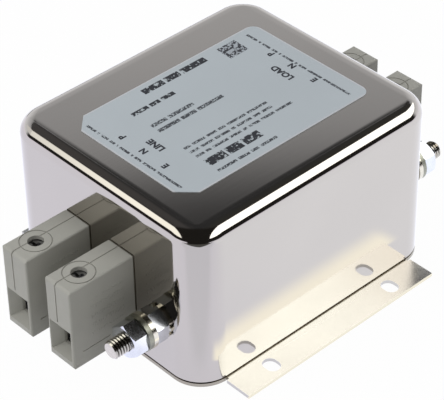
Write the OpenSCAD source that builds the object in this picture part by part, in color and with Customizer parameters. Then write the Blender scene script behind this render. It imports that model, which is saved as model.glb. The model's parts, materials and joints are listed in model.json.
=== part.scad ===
// Single-phase EMI line filter: a drawn steel can on a flanged base plate,
// with two feed-through screw terminals and an earth bolt at each end.
// X runs across the can from flange to flange, Y from the LINE end (-Y)
// to the LOAD end (+Y), and Z up from the underside of the base plate.

/* [Can and base plate] */
// Length of the can, LINE end to LOAD end
can_length = 99; // [92:1:115]
// Width of the can, flange side to flange side
can_width = 84.5; // [80:0.5:96]
// Height of the can's top above the mounting surface
can_height = 57.5; // [54:0.5:72]
// Sheet thickness of the can
can_wall = 1; // [0.8:0.1:1.4]
// Outer radius of the can's upright corners
corner_radius = 11; // [8:0.5:12]
// Outer radius of the drawn edge round the can's top
top_radius = 5; // [3:0.5:6]
// Chamfer under the outer edge of the can's rim
rim_chamfer = 0.6; // [0.2:0.1:0.7]
// Thickness of the base plate
plate_thickness = 1.2; // [0.8:0.1:2]
// How far each mounting flange reaches out from the can
flange_reach = 10.3; // [9:0.1:14]
// Length of each mounting flange
flange_length = 79; // [70:1:80]
// Depth and width of the relief notch at each end of a flange
flange_notch = 1; // [0.6:0.1:1.2]
// Spacing of the mounting slots along the can
slot_spacing_y = 51; // [40:1:60]
// Distance of the slot centres from the can's wall
slot_offset = 5.4; // [5:0.1:6]
// Width of a mounting slot
slot_width = 4.8; // [4.2:0.1:5.4]
// Length of a mounting slot, across the flange
slot_length = 6; // [5.6:0.1:7]

/* [Label] */
// Length of the rating label
label_length = 75.6; // [60:0.2:80]
// Width of the rating label
label_width = 51.2; // [40:0.2:56]
// Thickness of the rating label
label_thickness = 0.2; // [0.1:0.05:0.3]
// Leg of the chamfers at the label's LINE end
label_chamfer = 5.4; // [2:0.2:8]
// Radius of the corners at the label's LOAD end
label_radius = 3.5; // [1:0.5:8]

/* [Terminal blocks] */
// Distance between the centres of the two terminals at one end
terminal_pitch = 19.5; // [17:0.1:20]
// Width of one terminal block
block_width = 10.9; // [10.7:0.1:12]
// How far a terminal block stands out from the can
block_depth = 24.2; // [23:0.1:28]
// Height of a block's underside above the mounting surface
block_bottom = 8.2; // [7:0.1:9]
// Height of a terminal block
block_height = 29.5; // [29:0.1:32]
// Rounding of the block's outer edges that run across it
block_round = 1.2; // [0.4:0.1:1.2]
// Rounding of the edges of the block's side faces
side_round = 0.6; // [0.3:0.1:0.6]
// How far the seam between a block's shells lies off its middle
seam_shift = 0.9; // [0:0.1:1]
// Distance of the clamp screw's axis from the block's front face
screw_setback = 8.3; // [7.8:0.1:9]
// Diameter of the screwdriver hole
access_diameter = 5; // [4.6:0.1:5.4]
// Diameter of the moulded ring round the screwdriver hole
ring_diameter = 10.1; // [8:0.1:10.2]
// Width and depth of the moulded ring's groove
ring_groove = 0.35; // [0.2:0.05:0.5]
// Width of the wire funnel at the block's front face
funnel_width = 9.3; // [8:0.1:9.6]
// Height of the wire funnel at the block's front face
funnel_height = 11.4; // [10:0.1:12]
// Depth of the wire funnel
funnel_depth = 3.6; // [2:0.1:3.8]
// Length of the spigot that passes through the can's wall
spigot_length = 5; // [3.5:0.5:7]
// Thickness of the collar that holds a block from inside the can
collar_thickness = 3; // [2:0.5:3]

/* [Clamp] */
// Thread diameter of the clamp screw
screw_diameter = 4; // [3.5:0.5:4]
// Lead of the clamp screw's thread
screw_pitch = 0.7; // [0.5:0.05:0.7]
// Whole turns of the clamp screw from open to closed
clamp_turns = 10; // [6:1:10]
// Diameter of the clamp screw's head
head_diameter = 6.2; // [5.8:0.1:6.4]
// Height of the clamp screw's head
head_height = 4; // [2.4:0.1:4]
// Outer width of the clamp cage
cage_width = 7.6; // [7.4:0.1:7.8]
// Depth of the clamp cage, along the wire
cage_depth = 6.8; // [6:0.1:7]
// Side wall of the clamp cage
cage_wall = 1; // [0.8:0.1:1]
// Thickness of the cage's floor
cage_floor = 1.2; // [1:0.1:1.4]
// Thickness of the cage's threaded top
cage_top = 3; // [2.5:0.1:3]
// Width of the current bar
bar_width = 5; // [4:0.1:5]
// Thickness of the current bar
bar_thickness = 1.5; // [1.2:0.1:1.6]
// Length of the current bar's tail inside the can
bar_tail = 11; // [9:0.5:11.5]

/* [Earth bolts] */
// Distance of the earth bolts from the can's side wall
bolt_inset = 16.3; // [16.3:0.1:18]
// Height of the earth bolts above the mounting surface
bolt_height = 20; // [15:0.5:30]
// Thread diameter of the earth bolts
bolt_diameter = 6; // [5:0.5:6]
// Length of an earth bolt outside the can
bolt_reach = 19.2; // [18:0.1:24]
// Size across the flats of the nuts and of the bolt's head
nut_flats = 10; // [9:0.5:10]
// Height of the nuts
nut_height = 5; // [4:0.1:5]
// Outer diameter of the flat washer
washer_diameter = 12; // [11:0.1:12.5]
// Thickness of the flat washer
washer_thickness = 1.6; // [1:0.1:1.6]
// Outer diameter of the spring lock washer
lock_diameter = 11.8; // [10:0.1:11.8]
// Thickness of the spring lock washer
lock_thickness = 1.6; // [1.2:0.1:1.6]
// Outer diameter of the toothed washer
toothed_diameter = 11; // [10:0.1:12]
// Thickness of the toothed washer
toothed_thickness = 0.8; // [0.5:0.1:1]
// Number of teeth on the toothed washer
tooth_count = 12; // [8:1:16]

/* [Choke] */
// Outer diameter of the ring core
core_outer = 50; // [46:1:50]
// Inner diameter of the ring core
core_inner = 28; // [26:1:30]
// Height of the ring core
core_height = 24; // [16:1:30]
// Diameter of the winding wire
wire_diameter = 2.4; // [1.8:0.1:2.4]
// Turns of each winding
winding_turns = 11; // [6:1:11]
// Angle of the core that each winding covers
winding_sector = 146; // [120:1:150]

/* [Circuit board] */
// Length of the circuit board
board_length = 78; // [77:1:79]
// Width of the circuit board
board_width = 79; // [76:1:79]
// Thickness of the circuit board
board_thickness = 1.6; // [1:0.1:2]
// Height of the pillars under the circuit board
pillar_height = 4; // [3:0.5:5]
// Length of an X capacitor
x_cap_length = 31.5; // [26:0.5:32]
// Width of an X capacitor
x_cap_width = 10.6; // [8:0.1:10.8]
// Height of an X capacitor
x_cap_height = 21; // [15:0.5:25]
// Length of a Y capacitor
y_cap_length = 13; // [10:0.5:14]
// Width of a Y capacitor
y_cap_width = 5; // [4:0.5:6]
// Height of a Y capacitor
y_cap_height = 11; // [8:0.5:14]

/* [Hidden] */

$fn = 48;
// Cut tools reach this far past the faces they cut
over = 1;
// Clearance between a moving piece and what it moves in
moving_gap = 0.3;
// Clearance between fitted pieces that don't move
fitted_gap = 0.1;
// Clearance of a thread or pin in its hole, on the radius
thread_gap = 0.05;
// How far the cut through the can's open rim reaches into its hollow
rim_overlap = 0.5;

// --- Shared sizes -----------------------------------------------------

half_length = can_length / 2;
half_width = can_width / 2;
inner_length = half_length - can_wall;
LINE = -1;
LOAD = 1;
P_SIDE = -1;
N_SIDE = 1;

// Terminal block heights and the places along its depth
block_floor = 2.4;
funnel_sill = 2.6;
block_top = block_bottom + block_height;
screw_at = block_depth - screw_setback;
funnel_floor = block_bottom + funnel_sill;
funnel_top = funnel_floor + funnel_height;
seam_groove = 0.22;
foot_step = 0.35;
side_line_height = 5.2;
side_line_start = 3.6;
side_line_length = 10.2;
side_line_width = 0.35;
side_line_depth = 0.2;

// Clamp heights, with the cage at its lowest, open, place
chamber_floor = block_bottom + block_floor;
cage_base = chamber_floor + moving_gap;
passage_floor = cage_base + cage_floor;
window_height = 7.4;
bar_base = passage_floor + window_height;
bar_top = bar_base + bar_thickness;
clamp_travel = screw_pitch * clamp_turns;
roof_gap = 0.5;
cage_roof = bar_top + roof_gap;
chamber_top = cage_roof + cage_top + clamp_travel + moving_gap;
head_base = chamber_top + fitted_gap * 2;
head_top = head_base + head_height;
shoulder = head_top + moving_gap;
screw_tip = bar_top + moving_gap;
slot_cut = 1;
slot_cut_depth = 1.1;

// Spigot and the window for it in the can's end walls
spigot_half_width = cage_width / 2;
spigot_step = 1;
spigot_base = chamber_floor + spigot_step;
spigot_top = chamber_top + spigot_step;
collar_margin = 1.6;

// Earth bolts, and their stack measured out from the can's end wall
bolt_offset = half_width - bolt_inset;
bolt_head_height = 4;
lug_thickness = 0.8;
stack_nut = toothed_thickness;
stack_washer = stack_nut + nut_height;
stack_lock = stack_washer + washer_thickness;
stack_clamp = stack_lock + lock_thickness;
bolt_chamfer = 0.6;
lock_section = 2.5;
lock_split = 0.8;
lock_split_turn = 200;
fixing_nut_turn = 39;
clamp_nut_turn = 26;
tooth_height = 0.9;

// Circuit board, choke and capacitors
pillar_diameter = 6;
pillar_inset = 4;
board_base = plate_thickness + pillar_height;
board_top = board_base + board_thickness;
stand_disc = 2;
stand_wall = 2;
ledge_width = 5;
core_round = 1.5;
core_gap = 0.3;
wire_room = 0.6;
wire_radius = wire_diameter / 2;
core_base = board_top + stand_disc + wire_diameter + 2 * core_gap + wire_room;
core_top = core_base + core_height;
capacitor_gap = 0.5;
leg_inset = 2;
winding_reach = core_outer / 2 + core_gap + wire_diameter;
x_cap_at = winding_reach + capacitor_gap + x_cap_width / 2;
x_cap_apart = 2;
x_cap_legs = x_cap_length - 2 * leg_inset;
y_cap_at = winding_reach + capacitor_gap + y_cap_width / 2;
y_cap_apart = 1.5;
y_cap_legs = y_cap_length - 2 * leg_inset;
leg_radius = 0.4;
leg_reach = board_thickness + 1;
tube_sides = 8;
link_radius = 0.5;
link_inset = 0.6;

// Route of the leads between a bar's eye and the core, as steps
// [towards the core, above the bar's underside, towards the middle]
lead_rise = [[0, -1, 0], [0, 4, 0], [0.8, 7, 0.2], [3.5, 10.5, 0.6], [8, 13.5, 1.2]];
lead_drop = [[0, -1, 0], [0, 5, 0], [0.8, 9, 0.2], [3.5, 14, 0.6], [7.5, 17, 1.2],
    [11, 18, 1.6]];

// Route of the earth lead: from its lug, as steps [away from the end wall,
// below the bolt's axis], and then to the board, as steps [the same,
// above the board]
lug_route = [[1.4, 6.2], [1.5, 7.6]];
board_route = [[2.6, 3.4], [5.5, 2.7], [9.8, 2.6], [13, 2.2], [14, 1.2], [14, 0]];
earth_wire_radius = 0.9;
lug_diameter = 10.4;
lug_tongue = 4.4;
lug_length = 7.4;
resistor_diameter = 3.6;
resistor_length = 10;
resistor_legs = resistor_length + 2 * leg_inset;
resistor_at = y_cap_at + y_cap_width / 2 + capacitor_gap + resistor_diameter / 2;

// Where each capacitor stands on the board; place 0 is nearer the middle
function x_cap_place(end) = [-x_cap_at, end * (x_cap_apart + x_cap_length) / 2];
function y_cap_place(end, place) = [y_cap_at,
    end * ((y_cap_apart + y_cap_length) / 2 + place * (y_cap_length + y_cap_apart))];

// --- Flat outlines ----------------------------------------------------

// Rectangle with round corners, centred
module rounded_rectangle(size, radius) {
    for (x = [-1, 1], y = [-1, 1])
        translate([x * (size[0] / 2 - radius), y * (size[1] / 2 - radius)])
            circle(radius);
    square([size[0] - 2 * radius, size[1]], center = true);
    square([size[0], size[1] - 2 * radius], center = true);
}

// Half section of a drawn shell: straight wall below, quarter round on top,
// and a chamfer under its outer edge
module drawn_section(half, height, radius, chamfer) {
    polygon(concat([[0, 0]],
        chamfer > 0 ? [[half - chamfer, 0], [half, chamfer]] : [[half, 0]],
        [[half, height - radius], [0, height - radius]]));
    square([half - radius, height]);
    translate([half - radius, height - radius])
        circle(radius);
}

// Hexagon by its size across the flats
module hexagon(flats) {
    circle(d = flats / cos(30), $fn = 6);
}

// --- Can --------------------------------------------------------------

// Closed form of the drawn can, standing on z = 0
module drawn_form(length, width, height, corner, edge, chamfer) {
    for (x = [-1, 1], y = [-1, 1])
        translate([x * (width / 2 - corner), y * (length / 2 - corner), 0])
            rotate_extrude()
                intersection() {
                    drawn_section(corner, height, edge, chamfer);
                    square([corner, height]);
                }
    rotate([90, 0, 0])
        linear_extrude(length - 2 * corner, center = true)
            for (side = [0, 1])
                mirror([side, 0])
                    drawn_section(width / 2, height, edge, chamfer);
    rotate([90, 0, 90])
        linear_extrude(width - 2 * corner, center = true)
            for (side = [0, 1])
                mirror([side, 0])
                    drawn_section(length / 2, height, edge, chamfer);
}

// Places its children at one end of the can, with +Y pointing outwards
module at_end(end, x) {
    translate([x, end * half_length, 0])
        mirror([0, end == LINE ? 1 : 0, 0])
            children();
}

module can() {
    color("#b9b7ba")
        difference() {
            translate([0, 0, plate_thickness])
                drawn_form(can_length, can_width, can_height - plate_thickness,
                    corner_radius, top_radius, rim_chamfer);
            translate([0, 0, plate_thickness])
                drawn_form(can_length - 2 * can_wall, can_width - 2 * can_wall,
                    can_height - plate_thickness - can_wall,
                    corner_radius - can_wall, top_radius - can_wall, 0);
            translate([0, 0, plate_thickness - over])
                linear_extrude(over + rim_overlap)
                    rounded_rectangle([can_width - 2 * can_wall,
                        can_length - 2 * can_wall], corner_radius - can_wall);
            for (end = [LINE, LOAD]) {
                for (side = [P_SIDE, N_SIDE])
                    at_end(end, side * terminal_pitch / 2)
                        translate([-spigot_half_width - fitted_gap, -can_wall - over,
                            spigot_base - fitted_gap])
                            cube([2 * (spigot_half_width + fitted_gap),
                                can_wall + 2 * over,
                                spigot_top - spigot_base + 2 * fitted_gap]);
                at_end(end, bolt_offset)
                    translate([0, over, bolt_height])
                        rotate([90, 0, 0])
                            cylinder(h = can_wall + 2 * over,
                                d = bolt_diameter + 4 * fitted_gap);
            }
        }
}

// --- Base plate and label ---------------------------------------------

module mounting_slot() {
    for (x = [-1, 1])
        translate([x * (slot_length - slot_width) / 2, 0])
            circle(d = slot_width);
    square([slot_length - slot_width, slot_width], center = true);
}

module base_plate() {
    color("#e6dfcc")
        linear_extrude(plate_thickness)
            difference() {
                union() {
                    rounded_rectangle([can_width, can_length], corner_radius);
                    square([can_width + 2 * flange_reach, flange_length],
                        center = true);
                }
                for (x = [-1, 1], y = [-1, 1]) {
                    translate([x * (half_width + flange_notch / 2),
                            y * (flange_length / 2)])
                        square([flange_notch, 2 * flange_notch], center = true);
                    translate([x * (half_width + slot_offset),
                            y * slot_spacing_y / 2])
                        mounting_slot();
                }
            }
}

module rating_label() {
    half = [label_width / 2, label_length / 2];
    color("#aab0ba")
        translate([0, 0, can_height])
            linear_extrude(label_thickness) {
                polygon([
                    [-half[0] + label_chamfer, -half[1]],
                    [half[0] - label_chamfer, -half[1]],
                    [half[0], -half[1] + label_chamfer],
                    [half[0], half[1] - label_radius],
                    [-half[0], half[1] - label_radius],
                    [-half[0], -half[1] + label_chamfer]
                ]);
                translate([0, half[1] - label_radius])
                    square([label_width - 2 * label_radius, 2 * label_radius],
                        center = true);
                for (x = [-1, 1])
                    translate([x * (half[0] - label_radius),
                            half[1] - label_radius])
                        circle(label_radius);
            }
}

// --- Terminal blocks --------------------------------------------------
// Built for one end: y = 0 is the can's wall and +Y points outwards

// Turns an outline drawn as [depth, height] into a slab across the block
module across(width) {
    rotate([90, 0, 90])
        linear_extrude(width, center = true)
            children();
}

// Wire funnel: a tapered hole made where two wedges cross
module wire_funnel() {
    mouth = funnel_width / 2;
    throat = cage_width / 2 - cage_wall;
    inner = block_depth - funnel_depth;
    intersection() {
        translate([0, 0, block_bottom])
            linear_extrude(block_height)
                polygon([
                    [-throat, inner], [throat, inner],
                    [mouth, block_depth], [mouth, block_depth + over],
                    [-mouth, block_depth + over], [-mouth, block_depth]
                ]);
        across(block_width)
            polygon([
                [inner, passage_floor], [block_depth, funnel_floor],
                [block_depth + over, funnel_floor],
                [block_depth + over, funnel_top], [block_depth, funnel_top],
                [inner, bar_base]
            ]);
    }
}

// Everything that is hollow inside the closed pair of shells
module block_hollow() {
    cage_room = cage_width + 2 * moving_gap;
    throat = cage_width / 2 - cage_wall;
    translate([-cage_room / 2, screw_at - cage_depth / 2 - moving_gap,
            chamber_floor])
        cube([cage_room, cage_depth + 2 * moving_gap,
            chamber_top - chamber_floor]);
    translate([0, screw_at, chamber_top - over])
        cylinder(h = shoulder - chamber_top + over,
            d = head_diameter + 2 * moving_gap);
    translate([0, screw_at, shoulder - over])
        cylinder(h = block_top - shoulder + 2 * over, d = access_diameter);
    translate([-throat, screw_at, passage_floor])
        cube([2 * throat, screw_setback - funnel_depth + fitted_gap,
            window_height]);
    wire_funnel();
    translate([-bar_width / 2 - thread_gap, -can_wall - spigot_length - over,
            bar_base - thread_gap])
        cube([bar_width + 2 * thread_gap,
            can_wall + spigot_length + over + screw_at + cage_depth / 2,
            bar_thickness + 2 * thread_gap]);
}

// Narrow step round a block's foot, which leaves a fine gap at the can
module foot_relief() {
    width = block_width + 2 * over;
    for (z = [block_bottom - over, block_top - foot_step])
        translate([-width / 2, -over, z])
            cube([width, over + foot_step, over + foot_step]);
    translate([block_width / 2 - foot_step, -over, block_bottom - over])
        cube([over + foot_step, over + foot_step, block_height + 2 * over]);
}

// Outside of a closed pair of shells, without the spigot
module block_form() {
    middle = block_bottom + block_height / 2;
    intersection() {
        across(block_width)
            intersection() {
                translate([0, middle])
                    rounded_rectangle([2 * block_depth, block_height], block_round);
                translate([0, block_bottom])
                    square([block_depth, block_height]);
            }
        translate([0, 0, block_bottom])
            linear_extrude(block_height)
                rounded_rectangle([block_width, 2 * block_depth], side_round);
        rotate([90, 0, 0])
            linear_extrude(2 * block_depth, center = true)
                translate([0, middle])
                    rounded_rectangle([block_width, block_height], side_round);
    }
}

// One shell, the half at +X, which is the right one as seen from the LINE
// end; it reaches past the block's middle to x = -reach
module shell_half(reach) {
    color("#9c9b98")
        difference() {
            union() {
                intersection() {
                    block_form();
                    translate([-reach, -over, 0])
                        cube([block_width, block_depth + 2 * over, block_top + over]);
                }
                translate([-reach, -can_wall - spigot_length, spigot_base])
                    cube([spigot_half_width + reach,
                        can_wall + spigot_length + over,
                        spigot_top - spigot_base]);
            }
            block_hollow();
            foot_relief();
            // Moulded ring round the screwdriver hole
            translate([0, screw_at, block_top - ring_groove])
                difference() {
                    cylinder(h = ring_groove + over, d = ring_diameter);
                    translate([0, 0, -over])
                        cylinder(h = ring_groove + 3 * over,
                            d = ring_diameter - 2 * ring_groove);
                }
            // Rebate that leaves a fine line where the shells meet
            translate([-reach + seam_groove / 2, 0, 0])
                across(seam_groove)
                    difference() {
                        translate([0, funnel_top + over])
                            square([block_depth + over, block_height]);
                        translate([0, block_bottom + block_height / 2])
                            rounded_rectangle([2 * (block_depth - seam_groove),
                                    block_height - 2 * seam_groove], block_round);
                    }
            // Fine moulded line low on the side face
            translate([block_width / 2 - side_line_depth,
                    block_depth - side_line_start - side_line_length,
                    block_bottom + side_line_height])
                cube([over, side_line_length, side_line_width]);
        }
}

module shell(right, reach) {
    mirror([right ? 0 : 1, 0, 0])
        shell_half(reach);
}

module clamp_cage() {
    window = cage_width - 2 * cage_wall;
    color("#c3c4c6")
        translate([0, screw_at, 0])
            difference() {
                translate([-cage_width / 2, -cage_depth / 2, cage_base])
                    cube([cage_width, cage_depth, cage_roof + cage_top - cage_base]);
                translate([-window / 2, -cage_depth / 2 - over, passage_floor])
                    cube([window, cage_depth + 2 * over,
                        cage_roof - passage_floor]);
                translate([0, 0, cage_roof - over])
                    cylinder(h = cage_top + 2 * over,
                        r = screw_diameter / 2 + thread_gap);
            }
}

module clamp_screw() {
    color("#8f9194")
        translate([0, screw_at, 0])
            difference() {
                union() {
                    translate([0, 0, screw_tip])
                        cylinder(h = head_base - screw_tip, d = screw_diameter);
                    translate([0, 0, head_base])
                        cylinder(h = head_height, d = head_diameter);
                }
                translate([0, 0, head_top - slot_cut_depth]) {
                    linear_extrude(slot_cut_depth + over)
                        square([head_diameter, slot_cut], center = true);
                    linear_extrude(slot_cut_depth + over)
                        square([slot_cut, head_diameter / 2], center = true);
                }
            }
}

module current_bar() {
    front = screw_at + cage_depth / 2 - thread_gap;
    color("#c9a27a")
        difference() {
            translate([-bar_width / 2, -can_wall - bar_tail, bar_base])
                cube([bar_width, can_wall + bar_tail + front, bar_thickness]);
            translate([0, bar_width / 2 - can_wall - bar_tail, bar_base - over])
                cylinder(h = bar_thickness + 2 * over,
                    d = wire_diameter + 2 * fitted_gap);
        }
}

module collar() {
    outer = [2 * (spigot_half_width + collar_margin),
        spigot_top - spigot_base + 2 * collar_margin];
    color("#6f7072")
        translate([0, -can_wall, (spigot_base + spigot_top) / 2])
            rotate([90, 0, 0])
                linear_extrude(collar_thickness)
                    difference() {
                        rounded_rectangle(outer, block_round);
                        square([2 * (spigot_half_width + thread_gap),
                            spigot_top - spigot_base + 2 * thread_gap],
                            center = true);
                    }
}

// Places its children at one terminal
module at_terminal(end, side) {
    at_end(end, side * terminal_pitch / 2)
        children();
}

// --- Earth bolts ------------------------------------------------------
// Built about the bolt's axis, with +Z pointing out of the can's wall

module at_bolt(end) {
    at_end(end, bolt_offset)
        translate([0, 0, bolt_height])
            rotate([-90, 0, 0])
                children();
}

// Hexagon prism whose corners are turned down at the ends
module hex_body(height, turn) {
    corner = nut_flats / cos(30) / 2;
    drop = (corner - nut_flats / 2) / 2;
    intersection() {
        linear_extrude(height)
            rotate([0, 0, turn])
                hexagon(nut_flats);
        rotate_extrude()
            polygon([
                [0, 0], [corner - 2 * drop, 0], [corner, drop],
                [corner, height - drop], [corner - 2 * drop, height], [0, height]
            ]);
    }
}

module nut(height_at, turn) {
    color("#d9dce2")
        translate([0, 0, height_at])
            difference() {
                hex_body(nut_height, turn);
                translate([0, 0, -over])
                    cylinder(h = nut_height + 2 * over,
                        r = bolt_diameter / 2 + thread_gap);
            }
}

module earth_bolt() {
    inside = can_wall + lug_thickness;
    color("#d2cdbf") {
        translate([0, 0, -inside - bolt_head_height])
            hex_body(bolt_head_height, fixing_nut_turn);
        rotate_extrude()
            polygon([
                [0, -inside - over], [bolt_diameter / 2, -inside - over],
                [bolt_diameter / 2, bolt_reach - bolt_chamfer],
                [bolt_diameter / 2 - bolt_chamfer, bolt_reach], [0, bolt_reach]
            ]);
    }
}

module toothed_washer() {
    root = toothed_diameter / 2 - tooth_height;
    color("#b4b3ad")
        linear_extrude(toothed_thickness)
            difference() {
                union() {
                    circle(root);
                    for (tooth = [0 : tooth_count - 1])
                        rotate([0, 0, tooth * 360 / tooth_count])
                            translate([0, -root * PI / tooth_count / 2])
                                square([toothed_diameter / 2,
                                    root * PI / tooth_count]);
                }
                circle(bolt_diameter / 2 + fitted_gap);
            }
}

module flat_washer() {
    color("#ddd9cc")
        translate([0, 0, stack_washer])
            difference() {
                cylinder(h = washer_thickness, d = washer_diameter);
                translate([0, 0, -over])
                    cylinder(h = washer_thickness + 2 * over,
                        r = bolt_diameter / 2 + 2 * fitted_gap);
            }
}

module lock_washer() {
    inner = lock_diameter / 2 - lock_section;
    color("#8a8a78")
        translate([0, 0, stack_lock])
            difference() {
                cylinder(h = lock_thickness, d = lock_diameter);
                translate([0, 0, -over])
                    cylinder(h = lock_thickness + 2 * over,
                        r = max(inner, bolt_diameter / 2 + fitted_gap));
                rotate([0, 0, lock_split_turn])
                    translate([0, -lock_split / 2, -over])
                        cube([lock_diameter, lock_split,
                            lock_thickness + 2 * over]);
            }
}

// --- Circuit board and what stands on it -------------------------------

// Places its children at each of the four pillars
module at_pillars() {
    for (x = [-1, 1], y = [-1, 1])
        translate([x * (board_width / 2 - pillar_inset),
                y * (board_length / 2 - pillar_inset), 0])
            children();
}

module circuit_board() {
    color("#3f7a4a")
        translate([0, 0, board_base])
            linear_extrude(board_thickness)
                difference() {
                    square([board_width, board_length], center = true);
                    for (end = [LINE, LOAD]) {
                        for (leg = [-1, 1]) {
                            leg_hole(x_cap_place(end), leg * x_cap_legs / 2);
                            for (place = [0, 1])
                                leg_hole(y_cap_place(end, place),
                                    leg * y_cap_legs / 2);
                        }
                        leg_hole([resistor_at, 0], end * resistor_legs / 2);
                    }
                }
}

// Hole in the board for a leg that stands off a component's centre
module leg_hole(centre, leg) {
    translate([centre[0], centre[1] + leg])
        circle(leg_radius + fitted_gap);
}

module board_pillars() {
    color("#e9e9e4")
        at_pillars()
            translate([0, 0, plate_thickness])
                cylinder(h = pillar_height, d = pillar_diameter);
}

// Plastic stand that carries the ring core and parts the two windings
module choke_stand() {
    color("#2f3134")
        translate([0, 0, board_top]) {
            cylinder(h = stand_disc, d = core_outer);
            translate([-stand_wall / 2, -core_inner / 2 + core_gap, 0])
                cube([stand_wall, core_inner - 2 * core_gap,
                    core_top - board_top]);
            for (y = [-1, 1])
                translate([-ledge_width / 2,
                        y * (core_outer + core_inner) / 4 - ledge_width / 2, 0])
                    cube([ledge_width, ledge_width, core_base - board_top]);
        }
}

module choke_core() {
    color("#4c4f4d")
        translate([0, 0, core_base])
            rotate_extrude()
                translate([(core_outer + core_inner) / 4, core_height / 2])
                    rounded_rectangle([(core_outer - core_inner) / 2,
                        core_height], core_round);
}

// --- Windings: one wire each, swept round the core ----------------------

function unit(v) = v / norm(v);
function along(path, i) =
    unit(path[min(i + 1, len(path) - 1)] - path[max(i - 1, 0)]);
function turned(n, t) = unit(n - (n * t) * t);

// Side vector at every point of a path, carried along without twist
function side_vectors(path, first) = [
    for (i = 0, n = turned(first, along(path, 0)); i < len(path);
        i = i + 1, n = i < len(path) ? turned(n, along(path, i)) : n) n
];

// Tube of the given radius along a path
module tube(path, radius, first) {
    sides = side_vectors(path, first);
    rings = len(path);
    points = [
        for (i = [0 : rings - 1], k = [0 : tube_sides - 1])
            let (t = along(path, i), n = sides[i], b = cross(t, n),
                a = k * 360 / tube_sides)
            path[i] + radius * (cos(a) * n + sin(a) * b)
    ];
    walls = [
        for (i = [0 : rings - 2], k = [0 : tube_sides - 1])
            let (m = (k + 1) % tube_sides)
            [i * tube_sides + k, (i + 1) * tube_sides + k,
                (i + 1) * tube_sides + m, i * tube_sides + m]
    ];
    caps = [
        [for (k = [0 : tube_sides - 1]) k],
        [for (k = [tube_sides - 1 : -1 : 0]) (rings - 1) * tube_sides + k]
    ];
    polyhedron(points, concat(walls, caps), convexity = 8);
}

// Rounded rectangle round the core's section, three points to a corner,
// starting at the upper outer corner; each item is [radius, height]
function turn_section() =
    let (bend = core_round + core_gap + wire_radius,
        outer = core_outer / 2 - core_round,
        inner = core_inner / 2 + core_round,
        low = core_base + core_round,
        high = core_top - core_round,
        corners = [[outer, high, 0], [inner, high, 90],
            [inner, low, 180], [outer, low, 270]])
    [
        for (c = corners, step = [0 : 2])
            [c[0] + bend * cos(c[2] + step * 45),
                c[1] + bend * sin(c[2] + step * 45)]
    ];

// Path of a winding between two angles round the core
function winding_path(from, to) =
    let (section = turn_section(), per_turn = len(section),
        total = winding_turns * per_turn)
    [
        for (i = [0 : total])
            let (p = section[i % per_turn], a = from + (to - from) * i / total)
            [p[0] * cos(a), p[0] * sin(a), p[1]]
    ];

// One winding with its leads, from the LINE terminal to the LOAD terminal
module winding(side) {
    margin = (180 - winding_sector) / 2;
    start = side == P_SIDE ? 270 - margin : -90 + margin;
    finish = side == P_SIDE ? 90 + margin : 90 - margin;
    x = side * terminal_pitch / 2;
    y = inner_length - bar_tail + bar_width / 2;
    turns = winding_path(start, finish);
    path = concat(
        [for (p = lead_rise) [x - side * p[2], -y + p[0], bar_base + p[1]]],
        turns,
        [for (i = [len(lead_drop) - 1 : -1 : 0])
            let (p = lead_drop[i])
            [x - side * p[2], y - p[0], bar_base + p[1]]]);
    color("#b5652e")
        tube(path, wire_radius, [1, 0.1, 0]);
}

// Boxed capacitor standing on the board, with two wire legs through it
module box_capacitor(size, legs_apart, shade) {
    color(shade)
        translate([0, 0, board_top + size[2] / 2])
            rotate([90, 0, 90])
                linear_extrude(size[0], center = true)
                    rounded_rectangle([size[1], size[2]], block_round);
    color("silver")
        for (y = [-1, 1])
            translate([0, y * legs_apart / 2, board_top - leg_reach])
                cylinder(h = leg_reach + over, r = leg_radius);
}

module x_capacitor(end) {
    translate(x_cap_place(end))
        box_capacitor([x_cap_width, x_cap_length, x_cap_height], x_cap_legs,
            "#c8b23c");
}

module y_capacitor(end, place) {
    translate(y_cap_place(end, place))
        box_capacitor([y_cap_width, y_cap_length, y_cap_height], y_cap_legs,
            "#3b6fb0");
}

// Resistor lying on the board, its wires bent down through it
module bleed_resistor() {
    height = board_top + resistor_diameter / 2;
    foot = board_top - leg_reach;
    translate([resistor_at, 0, 0]) {
        color("#c9b48a")
            translate([0, 0, height])
                rotate([90, 0, 0])
                    cylinder(h = resistor_length, d = resistor_diameter,
                        center = true);
        color("silver") {
            translate([0, 0, height])
                rotate([90, 0, 0])
                    cylinder(h = resistor_legs, r = leg_radius, center = true);
            for (y = [-1, 1])
                translate([0, y * resistor_legs / 2, foot]) {
                    cylinder(h = height - foot, r = leg_radius);
                    translate([0, 0, height - foot])
                        sphere(leg_radius);
                }
        }
    }
}

// Stiff wire that joins a current bar to the board below it
module board_link() {
    color("silver")
        translate([0, link_inset - can_wall - bar_tail, board_top])
            cylinder(h = bar_base - board_top, r = link_radius);
}

// Ring lug under the earth bolt's head, and its wire down to the board
module earth_lead() {
    color("#cfd2d6")
        translate([0, -can_wall, bolt_height])
            rotate([90, 0, 0])
                linear_extrude(lug_thickness)
                    difference() {
                        union() {
                            circle(d = lug_diameter);
                            translate([-lug_tongue / 2, -lug_length])
                                square([lug_tongue, lug_length]);
                        }
                        circle(d = bolt_diameter + 4 * fitted_gap);
                    }
    color("#7fae3a")
        tube(concat(
                [for (p = lug_route) [0, -can_wall - p[0], bolt_height - p[1]]],
                [for (p = board_route) [0, -can_wall - p[0], board_top + p[1]]]),
            earth_wire_radius, [1, 0, 0]);
}

// --- The parts, one line for each ---------------------------------------

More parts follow.
